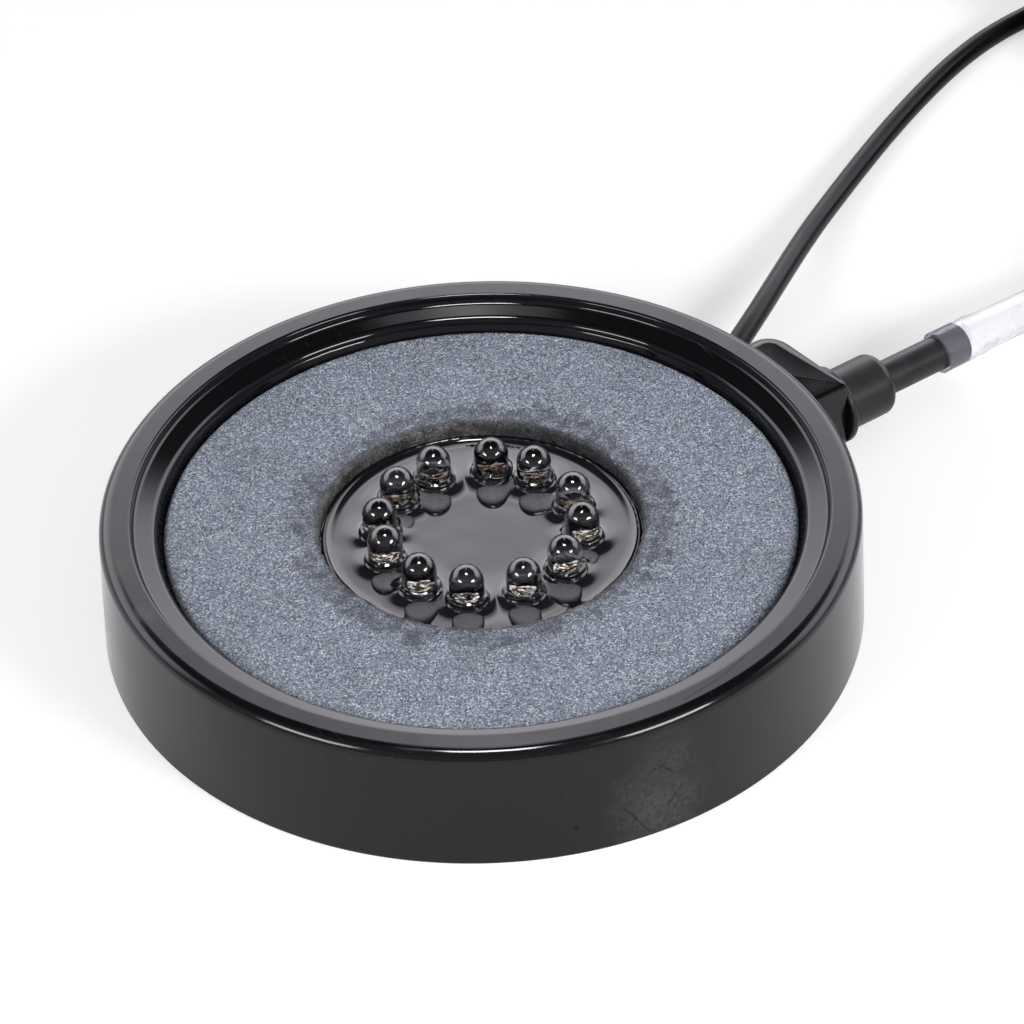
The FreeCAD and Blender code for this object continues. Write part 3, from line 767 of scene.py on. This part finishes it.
class AIRSTONE_OT_stage(Operator):
    """Sets the floor, the lights, the surroundings and the camera"""

    bl_idname = "airstone.stage"
    bl_label = "Stage"

    def execute(self, context):
        stage = settings().stage
        scene = context.scene
        scene.view_settings.view_transform = "Standard"
        self.camera(scene, stage)
        self.floor(scene, stage)
        self.surroundings(scene)
        for name, way, distance, width, height, glow in (
            ("front_left_box", (-0.67, -0.57, 0.457), 0.65, 0.26, 0.14, 20.0),
            ("front_right_box", (0.67, -0.57, 0.457), 0.65, 0.26, 0.14, 29.0),
            ("top_lamp", (0.0, -0.10, 0.995), 0.60, 0.13, 0.13, 58.0),
        ):
            made = self.lamp(scene, name, self.turned(way) * distance, width, height, glow)
            made.visible_diffuse = name != "top_lamp"
        return {"FINISHED"}

    def turned(self, way):
        """A direction seen from the camera's side, in the part's own frame."""
        return Matrix.Rotation(-VIEW_TURN, 3, "Z") @ Vector(way)

    def camera(self, scene, stage):
        data = bpy.data.cameras.new("camera")
        data.lens = stage.lens
        data.sensor_width = 36.0
        data.clip_start = 0.01
        made = bpy.data.objects.new("camera", data)
        scene.collection.objects.link(made)
        back = Vector((0, -math.cos(stage.tilt), math.sin(stage.tilt)))
        right = Vector((1, 0, 0))
        up = back.cross(right)
        c, s = math.cos(stage.roll), math.sin(stage.roll)
        right, up = c * right + s * up, c * up - s * right
        target = Vector((4.46, 9.41, 10.0)) * MM
        axes = Matrix((right, up, back)).transposed().to_4x4()
        axes.translation = target + back * stage.distance
        made.matrix_world = Matrix.Rotation(-VIEW_TURN, 4, "Z") @ axes
        scene.camera = made

    def floor(self, scene, stage):
        bm = bmesh.new()
        bmesh.ops.create_grid(bm, x_segments=8, y_segments=8, size=3.0)
        mesh = bpy.data.meshes.new("floor")
        bm.to_mesh(mesh)
        bm.free()
        made = bpy.data.objects.new("floor", mesh)
        made.location.z = -0.00002
        scene.collection.objects.link(made)
        material, tree, bsdf = finish_of("floor", Roughness=1.0, Specular_IOR_Level=0.0,
                                         Base_Color=(*stage.floor, 1.0))
        lifted = add(tree, "ShaderNodeAddShader", {
            0: add(tree, "ShaderNodeBsdfDiffuse", {"Color": (0.67, 0.67, 0.67, 1)}).outputs[0],
            1: add(tree, "ShaderNodeEmission", {"Color": (1, 1, 1, 1), "Strength": 0.49}).outputs[0]})
        seen = add(tree, "ShaderNodeLightPath").outputs
        shown = self.direct(tree, seen)
        mirrored = add(tree, "ShaderNodeAddShader", {0: bsdf.outputs[0], 1: add(
            tree, "ShaderNodeEmission", {"Color": (0.98, 0.98, 1.04, 1), "Strength": maths(
                tree, "MULTIPLY", seen["Is Glossy Ray"], 0.38)}).outputs[0]})
        mix = add(tree, "ShaderNodeMixShader", {0: shown, 1: mirrored.outputs[0],
                                                2: lifted.outputs[0]})
        tree.links.new(mix.outputs[0], tree.nodes["Material Output"].inputs["Surface"])
        mesh.materials.append(material)

    def direct(self, tree, seen):
        """1 for what is looked at directly or through clear pieces, with no reflection."""
        unbent = maths(tree, "LESS_THAN", seen["Glossy Depth"], 0.5)
        through = maths(tree, "MULTIPLY", seen["Is Transmission Ray"], unbent)
        return maths(tree, "MAXIMUM", seen["Is Camera Ray"], through)

    def surroundings(self, scene):
        """White to look at. Reflections see a bright wall below a dark ceiling."""
        world = bpy.data.worlds.new("studio")
        scene.world = world
        world.use_nodes = True
        tree = world.node_tree
        way = add(tree, "ShaderNodeMapping", {
            "Vector": add(tree, "ShaderNodeTexCoord").outputs["Generated"],
            "Rotation": (0.0, 0.0, VIEW_TURN)}).outputs["Vector"]
        side, ahead, up = add(tree, "ShaderNodeSeparateXYZ", {"Vector": way}).outputs
        off = maths(tree, "ABSOLUTE", side)
        behind = spread(tree, ahead, -0.10, 0.25)
        wall = maths(tree, "MULTIPLY", spread(tree, up, 0.05, 0.34, 0.16, 1.0),
                     spread(tree, up, 0.60, 0.69, 1.0, 0.0))
        wall = maths(tree, "MULTIPLY", wall, spread(tree, off, 0.0, 0.10, 4.4, 4.05))
        strip = maths(tree, "ADD", spread(tree, off, 0.042, 0.070, 1.5, 0.0),
                      spread(tree, off, 0.0, 0.040, 3.0, 0.0))
        strip = maths(tree, "MULTIPLY", strip, maths(
            tree, "MULTIPLY", spread(tree, up, 0.63, 0.67), spread(tree, up, 0.84, 0.90, 1.0, 0.0)))
        lit = maths(tree, "MULTIPLY", maths(tree, "ADD", wall, strip), behind)
        glow = maths(tree, "ADD", lit, spread(tree, up, 0.2, 0.9, 0.30, 0.08))
        glow = maths(tree, "ADD", glow, spread(tree, ahead, 0.05, -0.25, 0.0, 0.30))
        glossy = add(tree, "ShaderNodeBackground", {"Color": (1.0, 0.97, 1.04, 1.0), "Strength": glow})
        seen = add(tree, "ShaderNodeLightPath").outputs
        plain = add(tree, "ShaderNodeBackground", {"Color": (1, 1, 1, 1), "Strength": 0.37})
        white = add(tree, "ShaderNodeBackground", {"Color": (1, 1, 1, 1), "Strength": 1.0})
        mirrored = maths(tree, "MAXIMUM", seen["Is Glossy Ray"], seen["Is Transmission Ray"])
        first = add(tree, "ShaderNodeMixShader", {
            0: mirrored, 1: plain.outputs[0], 2: glossy.outputs[0]})
        last = add(tree, "ShaderNodeMixShader", {
            0: self.direct(tree, seen), 1: first.outputs[0], 2: white.outputs[0]})
        tree.links.new(last.outputs[0], tree.nodes["World Output"].inputs["Surface"])

    def lamp(self, scene, name, place, width, height, glow):
        """Rectangular light of the given brightness, facing the disc."""
        data = bpy.data.lights.new(name, "AREA")
        data.shape = "RECTANGLE"
        data.size, data.size_y = width, height
        data.energy = glow * math.pi * width * height
        made = bpy.data.objects.new(name, data)
        made.location = place + Vector((0, 0, 0.015))
        made.rotation_euler = place.to_track_quat("Z", "Y").to_euler()
        scene.collection.objects.link(made)
        return made


class AIRSTONE_OT_lead(Operator):
    """Lays the power lead along its route and winds the rest into a coil"""

    bl_idname = "airstone.lead"
    bl_label = "Power lead"

    def execute(self, context):
        lines = settings().lines
        coil = wound(176.0, 65.9, 22.4, 12.2, 3, 4, 3.4)
        points = (LEAD_START, *LEAD_ROUTE, *coil, *LEAD_TAIL)
        curve = spline_curve("power_cable", points)
        curve.bevel_depth = lines.lead / 2
        curve.bevel_resolution = 6
        curve.use_fill_caps = True
        curve.materials.append(sheath_finish("lead_sheath", tuple(lines.sheath), (0.20, 0.28), 1.17))
        made = bpy.data.objects.new("power_cable", curve)
        context.scene.collection.objects.link(made)
        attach(made, BODY)
        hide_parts("power_lead", "power_lead_coil", "power_lead_tail")
        return {"FINISHED"}


class AIRSTONE_OT_hose(Operator):
    """Pushes the clear air hose over the pipe and coils the rest beside the disc"""

    bl_idname = "airstone.hose"
    bl_label = "Air hose"

    def execute(self, context):
        lines = settings().lines
        coil = wound(140.0, 3.0, 42.0, 24.0, 3, 2, 6.0)
        path = lines_through((HOSE_START, *HOSE_ROUTE, *coil, *HOSE_TAIL))
        outer, bore = lines.hose / 2, lines.hose_bore / 2
        stretched = lines.pipe + 0.60 * MM
        grip = lines.pipe_end + 0.6 * MM - HOSE_START[0] * MM
        taper = 6.0 * MM

        def eased(low, high):
            def at(distance):
                t = min(1.0, max(0.0, (distance - grip) / taper))
                return high + (low - high) * t * t * (3 - 2 * t)
            return at

        start = [Vector(HOSE_START) * MM + Vector((i * 0.7 * MM, 0, 0)) for i in range(12)]
        along = start + [p for p in path if p.x > start[-1].x + 0.4 * MM or p.z < 0.006]
        bm = hose_mesh(along, eased(outer, stretched), eased(bore, lines.pipe - 0.02 * MM), 40)
        bmesh.ops.recalc_face_normals(bm, faces=bm.faces)
        made = piece("air_hose", bm, vinyl_finish(), "airline",
                     "airline", "airline_coil", "airline_tail")
        return {"FINISHED"}


class AIRSTONE_OT_housing(Operator):
    """Turns the outer ring and builds the inlet boss and the lead's outlet on it"""

    bl_idname = "airstone.housing"
    bl_label = "Housing"

    def execute(self, context):
        body = settings().body
        bm = self.ring(body)
        for part in (self.boss(body), self.outlet()):
            joined(bm, part)
        brown = (0.021, 0.0195, 0.0175)
        scuffs = (
            ((-9.6, -53.3, 5.2), 7.8, 330.0, [1.3 * c for c in brown], 0.12),
            ((-8.6, -53.5, 12.5), 6.0, 330.0, [0.7 * c for c in brown], 0.10),
            ((-21.0, -49.9, 4.8), 0.8, 1500.0, (0.002, 0.002, 0.002), 0.2),
            ((-0.6, -54.2, 7.9), 0.7, 1500.0, (0.003, 0.003, 0.003), 0.2),
            ((-47.9, 19.8, 19.4), 2.6, 700.0, (0.014, 0.013, 0.012), 0.12),
            ((-50.8, 9.1, 19.4), 2.2, 700.0, (0.014, 0.013, 0.012), 0.12),
        )
        cuts = (
            ((-14.2, -52.3, 6.2), (-10.7, -53.1, 0.7), 0.42),
            ((-6.8, -53.8, 6.0), (-8.6, -53.5, 3.6), 0.30),
            ((-8.6, -53.5, 3.6), (-10.6, -53.1, 1.7), 0.30),
            ((-12.0, -52.9, 14.6), (-7.2, -53.7, 10.2), 0.16),
            ((-21.0, -49.9, 4.8), (-20.8, -50.0, 4.9), 0.7),
            ((-0.7, -54.2, 7.9), (-0.5, -54.2, 8.0), 0.35),
            ((-11.0, -53.0, 11.0), (-6.2, -53.9, 12.8), 0.14),
            ((-3.4, -51.5, 19.4), (3.7, -50.8, 19.4), 0.16),
            ((3.7, -50.8, 19.4), (10.2, -49.0, 19.4), 0.14),
            ((-2.5, -53.8, 19.4), (6.9, -52.3, 19.4), 0.12),
            ((12.4, -48.0, 19.4), (19.7, -44.6, 19.4), 0.14),
        )
        finish = moulded_black("housing_black", (0.10, 0.16), 0.6, 0.1, scuffs, cuts, 49.5)
        piece("outer_ring", bm, finish, "housing", "housing", sharp=30.0)
        return {"FINISHED"}

    def ring(self, body):
        """Ring turned from its section: wall, rim, cove, ledge, seat and foot."""
        rim_in = (body.radius - body.rim) / MM
        ledge_in = rim_in - body.ledge / MM
        top = body.height / MM
        outside = body.radius / MM
        corners = (
            (outside + body.flare / MM, 0, 0.4), (outside, top, body.shoulder / MM),
            (rim_in, top, 0.45), (rim_in - 0.35, top - 1.3, 0.75), (ledge_in, top - 1.92, 1.0),
            (ledge_in, 11.1), (ledge_in - 3.2, 11.1), (ledge_in - 3.2, 9.3), (ledge_in + 1.6, 9.3),
            (ledge_in + 1.6, top - 3.25), (outside - 2.6, top - 3.25), (outside - 2.6, 2.4),
            (outside - 1.8, 2.4), (outside - 1.8, 0))
        return turned_mesh([p * MM for p in rounded(corners, 9, closed=True, guard=0.06)], 480,
                           closed=True)

    def boss(self, body):
        """Block whose outer top edge grows rounder towards the lobe."""
        side, back, out = body.boss_side, body.boss_back, body.boss_out
        inner = body.radius - 1.4 * MM

        def on_wall(y):
            return Vector((math.sqrt(inner ** 2 - y ** 2), y))

        front = [Vector((out, side + (back - side) * k / 14)) for k in range(1, 9)]
        path = rounded(((*on_wall(side), 0), (out, side, 0.6 * MM), (*front[0], 0)), 5)
        path += front[1:]
        path += rounded(((*front[-1], 0), (out, back, body.boss_lobe), (*on_wall(back), 0)), 14)[1:]
        shown = len(path)
        path += [on_wall(back + (side - back) * k / 12) for k in range(1, 12)]
        inward = []
        for i in range(shown):
            ahead = path[min(i + 1, shown - 1)] - path[max(i - 1, 0)]
            inward.append(Vector((-ahead.y, ahead.x)).normalized())
        inward += [Vector((0, 0))] * (len(path) - shown)
        bm = bmesh.new()
        lowest = [bm.verts.new((*p, 0.03 * MM)) for p in path]
        edges = [bm.edges.new((a, b)) for a, b in zip(lowest, lowest[1:] + lowest[:1])]
        bmesh.ops.contextual_create(bm, geom=edges)
        verts = lowest
        for k in range(11):
            turn = math.pi / 2 * k / 10
            made = bmesh.ops.extrude_edge_only(bm, edges=edges)["geom"]
            edges = [e for e in made if isinstance(e, bmesh.types.BMEdge)]
            raised = []
            for below, p, way in zip(verts, path, inward):
                across = (p.y - side) / (back - side)
                edge_round = (0.6 + 2.4 * max(0.0, min(1.0, 1.3 * across))) * MM
                height = body.boss_low + (body.boss_high - body.boss_low) * across
                at = p + way * edge_round * (1 - math.cos(turn))
                vert = next(e.other_vert(below) for e in below.link_edges
                            if e.other_vert(below) not in verts and e.other_vert(below).co == below.co)
                vert.co = (at.x, at.y, height - edge_round * (1 - math.sin(turn)))
                raised.append(vert)
            verts = raised
        top = bmesh.ops.contextual_create(bm, geom=edges)["faces"]
        bmesh.ops.inset_region(bm, faces=top, thickness=0.12 * MM, use_even_offset=True)
        bmesh.ops.recalc_face_normals(bm, faces=bm.faces)
        return bm

    def outlet(self):
        """Short round nose that the lead's sleeve sits in."""
        nose = [p * MM for p in rounded(((0, -1.6), (3.6, -1.6), (3.6, 2.0, 0.3), (0, 2.0)), 4)]
        bm = turned_mesh(nose, 64)
        way = Vector((math.cos(math.radians(35.5)), math.sin(math.radians(35.5)), 0))
        bmesh.ops.transform(bm, verts=bm.verts, matrix=Matrix.Translation(
            Vector((52.65, 13.7, 6.5)) * MM) @ way.to_track_quat("Z", "Y").to_matrix().to_4x4())
        return bm


class AIRSTONE_OT_mouldings(Operator):
    """Gives the base, collar, pipe and sleeve their black plastic"""

    bl_idname = "airstone.mouldings"
    bl_label = "Mouldings"

    def execute(self, context):
        dress(moulded_black("base_black", (0.06, 0.12), 0.3, 0.15), "base")
        dress(sheath_finish("inlet_black", (0.008, 0.008, 0.009), (0.34, 0.42), 1.36),
              "inlet_collar", "air_pipe")
        dress(sheath_finish("relief_rubber", (0.02, 0.02, 0.022), (0.4, 0.5)), "strain_relief")
        return {"FINISHED"}


class AIRSTONE_OT_stone(Operator):
    """Builds the ring of bonded grit with its grainy faces"""

    bl_idname = "airstone.stone"
    bl_label = "Grit ring"

    def execute(self, context):
        stone = settings().stone
        chamfer = 0.35 * MM
        rows = int((stone.outer - stone.bore) / (0.42 * MM))
        profile = [(stone.bore, stone.low + (stone.top - chamfer - stone.low) * k / 12)
                   for k in range(13)]
        profile += [(stone.bore + chamfer + (stone.outer - stone.bore - 2 * chamfer) * k / rows,
                     stone.top) for k in range(rows + 1)]
        profile += [(stone.outer, stone.top - chamfer), (stone.outer, stone.low)]
        bm = turned_mesh(profile, stone.steps, closed=True)
        bm.normal_update()
        relief = stone.relief
        shown = [v for v in bm.verts if v.co.z > stone.low + 0.0002]
        for scale, share, seed in ((2600.0, 1.0, 3.1), (900.0, 0.6, 8.7), (160.0, 0.8, 1.9)):
            roughened(shown, relief * share, scale, seed=seed)
        hole = [v for v in shown if v.co.xy.length < stone.bore + 1.6 * chamfer]
        roughened(hole, 4.0 * relief, 1500.0, seed=5.5)
        for v in shown:
            v.co.z = min(v.co.z, stone.top + relief)
            if v.co.xy.length < stone.bore - 0.1 * MM:
                v.co.xy = v.co.xy.normalized() * (stone.bore - 0.1 * MM)
        piece("grit_ring", bm, grit_finish(), "stone_ring", "stone_ring", sharp=180.0)
        return {"FINISHED"}


class AIRSTONE_OT_glue(Operator):
    """Runs the uneven glue beads along both edges of the grit ring"""

    bl_idname = "airstone.glue"
    bl_label = "Glue"

    def execute(self, context):
        material = moulded_black("set_glue", (0.04, 0.10), 0.0, 1.5)
        for name, node, low, rise, amount in (
            ("outer_glue_bead", "outer_glue", 11.2, (
                (44.88, 14.95), (45.08, 15.00), (45.28, 15.20), (45.46, 15.55), (45.63, 15.95),
                (45.80, 16.35), (45.93, 16.65), (46.0, 16.7)), 0.16),
            ("inner_glue_bead", "inner_glue", 11.2, (
                (22.72, 13.40), (22.90, 13.50), (23.08, 13.45)), 0.20),
        ):
            profile = [(rise[0][0], low), *rise, (rise[-1][0], low)]
            bm = turned_mesh([(r * MM, z * MM) for r, z in profile], 400, closed=True)
            upper = [v for v in bm.verts if v.co.z > (rise[0][1] - 0.2) * MM]
            roughened(upper, amount * MM, 240.0, UP)
            roughened(upper, 0.35 * amount * MM, 1100.0, UP, 4.0)
            piece(name, bm, material, node, node, sharp=60.0)
        return {"FINISHED"}


class AIRSTONE_OT_resin(Operator):
    """Pours the resin floor of the well with a wet collar round each lamp"""

    bl_idname = "airstone.resin"
    bl_label = "Potting resin"

    def execute(self, context):
        well = settings().well
        low = well.lens_low
        edge = well.wall - 0.02 * MM
        bank = [edge - 1.8 * MM * k / 18 for k in range(19)]
        flat = [bank[-1] * k / 46 for k in range(45, -1, -1)]
        profile = [(0.0, low), (edge, low), *((r, well.floor) for r in bank + flat)]
        bm = turned_mesh(profile, 300)
        middles = [centre_of("led_lens_" + lamp) for lamp in LAMPS]
        for v in bm.verts:
            if v.co.z > well.floor - 0.01 * MM:
                v.co.z += 0.38 * MM * math.exp((v.co.xy.length - edge) / (0.42 * MM))
                for middle in middles:
                    away = math.hypot(v.co.x - middle.x, v.co.y - middle.y) - 2.9 * MM
                    v.co.z += 0.42 * MM * math.exp(-max(0.0, away) / (0.75 * MM))
        for i, middle in enumerate(middles):
            floor = well.floor / MM
            profile = [p * MM for p in rounded((
                (2.2, floor - 0.6), (3.22, floor - 0.6), (3.22, floor + 0.30, 0.2),
                (2.98, floor + 0.52, 0.16), (2.86, floor + 0.66, 0.1), (3.02, floor + 0.88, 0.16),
                (2.88, floor + 1.20, 0.16), (2.49, floor + 1.38, 0.1), (2.2, floor + 1.3)), 5)]
            collar = turned_mesh(profile, 56, closed=True)
            upper = [v for v in collar.verts if v.co.z > (floor + 0.6) * MM]
            roughened(collar.verts, 0.10 * MM, 330.0, seed=3.7 * i)
            roughened(upper, 0.20 * MM, 900.0, seed=1.3 * i)
            roughened(upper, 0.28 * MM, 420.0, UP, seed=2.1 * i)
            bmesh.ops.translate(collar, verts=collar.verts, vec=(middle.x, middle.y, 0.0))
            joined(bm, collar)
        piece("potting_resin_cast", bm, resin_finish(), "potting_resin", "potting_resin")
        return {"FINISHED"}


class AIRSTONE_OT_lamps(Operator):
    """Makes the twelve clear lamps and finishes the metal inside them"""

    bl_idname = "airstone.lamps"
    bl_label = "Lamps"

    def execute(self, context):
        well = settings().well
        clear = lens_finish()
        flange = well.lens + 0.4 * MM
        profile = rounded((
            (0.0, well.lens_low), (flange, well.lens_low), (flange, well.lens_low + 1.0 * MM),
            (well.lens, well.lens_low + 1.0 * MM),
            (well.lens, well.lens_top, well.lens * 0.999), (0.0, well.lens_top)), 14)
        for lamp in LAMPS:
            middle = centre_of("led_lens_" + lamp)
            bm = turned_mesh(profile, 48)
            bmesh.ops.translate(bm, verts=bm.verts, vec=(middle.x, middle.y, 0.0))
            piece("lamp_%s" % lamp, bm, clear, "led_lens", "led_lens_" + lamp, sharp=50.0)
        shine = metal_with_painted_streaks()
        for i, lamp in enumerate(LAMPS):
            low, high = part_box("led_frame_" + lamp)
            across = Vector(((high.x - low.x), (high.y - low.y), 0.0)).length / 2 - 0.35 * MM
            middle = (low + high) / 2
            turn = math.radians(30 * i + 41 * (i % 3))
            bm = self.metal(well, low.z, across, turn, i)
            bmesh.ops.translate(bm, verts=bm.verts, vec=(middle.x, middle.y, 0.0))
            piece("lamp_metal_%s" % lamp, bm, shine, "led_frame", "led_frame_" + lamp, sharp=25.0)
        return {"FINISHED"}

    def metal(self, well, low, across, turn, seed):
        """Two legs, and the crimped cup that they carry."""
        head = well.floor + 0.1 * MM
        cup = [p * MM for p in ((0, 13.3), (0.45, 13.3), (0.62, 13.75), (0.95, 13.9), (0.72, 14.15),
                                (1.02, 14.3), (0.80, 14.55), (1.12, 14.75), (0.90, 14.95),
                                (1.05, 15.15), (0.75, 15.2), (0.4, 14.9), (0, 14.85))
               for p in [Vector(p)]]
        bm = turned_mesh(cup, 22)
        roughened(bm.verts, 0.30 * MM, 1300.0, seed=2.3 * seed)
        roughened([v for v in bm.verts if v.co.z > head], 0.22 * MM, 2600.0, UP, 1.7 * seed)
        for side in (-1, 1):
            leg = bmesh.new()
            bmesh.ops.create_cube(leg, size=1.0)
            bmesh.ops.scale(leg, verts=leg.verts, vec=(0.5 * MM, 0.5 * MM, 13.4 * MM - low))
            bmesh.ops.translate(leg, verts=leg.verts,
                                vec=(side * across, 0.0, (13.4 * MM + low) / 2))
            bmesh.ops.bevel(leg, geom=leg.edges[:], offset=0.05 * MM, segments=1, profile=0.5,
                            affect="EDGES", material=-1)
            joined(bm, leg)
        bmesh.ops.rotate(bm, verts=bm.verts, cent=(0, 0, 0), matrix=Matrix.Rotation(turn, 3, "Z"))
        return bm


class AIRSTONE_OT_hidden(Operator):
    """Finishes the board, the inner wiring and the plug"""

    bl_idname = "airstone.hidden"
    bl_label = "Board and plug"

    def execute(self, context):
        dress(laminate_finish(), "led_board")
        dress(sheath_finish("chip_black", (0.02, 0.02, 0.02), (0.4, 0.5)), "resistors")
        dress(sheath_finish("inner_sheath", (0.018, 0.018, 0.02), (0.3, 0.42)), "inner_lead")
        dress(sheath_finish("wire_red", (0.35, 0.03, 0.02), (0.3, 0.4)), "inner_wires")
        dress(sheath_finish("plug_grip", (0.02, 0.02, 0.022), (0.38, 0.5)), "plug_body")
        dress(sheath_finish("plug_core", (0.012, 0.012, 0.012), (0.4, 0.5)), "plug_insulator")
        dress(plated("nickel", (0.78, 0.77, 0.75), (0.16, 0.26)), "plug_barrel")
        dress(plated("contact_brass", (0.80, 0.62, 0.32), (0.2, 0.3)), "plug_contact")
        return {"FINISHED"}


class AIRSTONE_PT_sidebar(Panel):
    """Lists the pieces of the air stone disc"""

    bl_idname = "AIRSTONE_PT_sidebar"
    bl_label = "Air stone disc"
    bl_space_type = "VIEW_3D"
    bl_region_type = "UI"
    bl_category = "Air Stone"

    def draw(self, context):
        for operator in OPERATORS:
            self.layout.operator(operator.bl_idname)


PROPERTIES = (StoneSettings, WellSettings, LineSettings, BodySettings, StageSettings,
              AirStoneSettings)
OPERATORS = (AIRSTONE_OT_stage, AIRSTONE_OT_lead, AIRSTONE_OT_hose, AIRSTONE_OT_housing,
             AIRSTONE_OT_mouldings, AIRSTONE_OT_stone, AIRSTONE_OT_glue, AIRSTONE_OT_resin,
             AIRSTONE_OT_lamps, AIRSTONE_OT_hidden)


def register():
    for item in (*PROPERTIES, *OPERATORS, AIRSTONE_PT_sidebar):
        bpy.utils.register_class(item)
    bpy.types.Scene.air_stone = PointerProperty(type=AirStoneSettings, name="Air stone",
                                                description="Sizes and colours of the disc")


def unregister():
    del bpy.types.Scene.air_stone
    for item in reversed((*PROPERTIES, *OPERATORS, AIRSTONE_PT_sidebar)):
        bpy.utils.unregister_class(item)


def main():
    register()
    for operator in OPERATORS:
        group, name = operator.bl_idname.split(".")
        getattr(getattr(bpy.ops, group), name)()


if __name__ == "__main__":
    main()
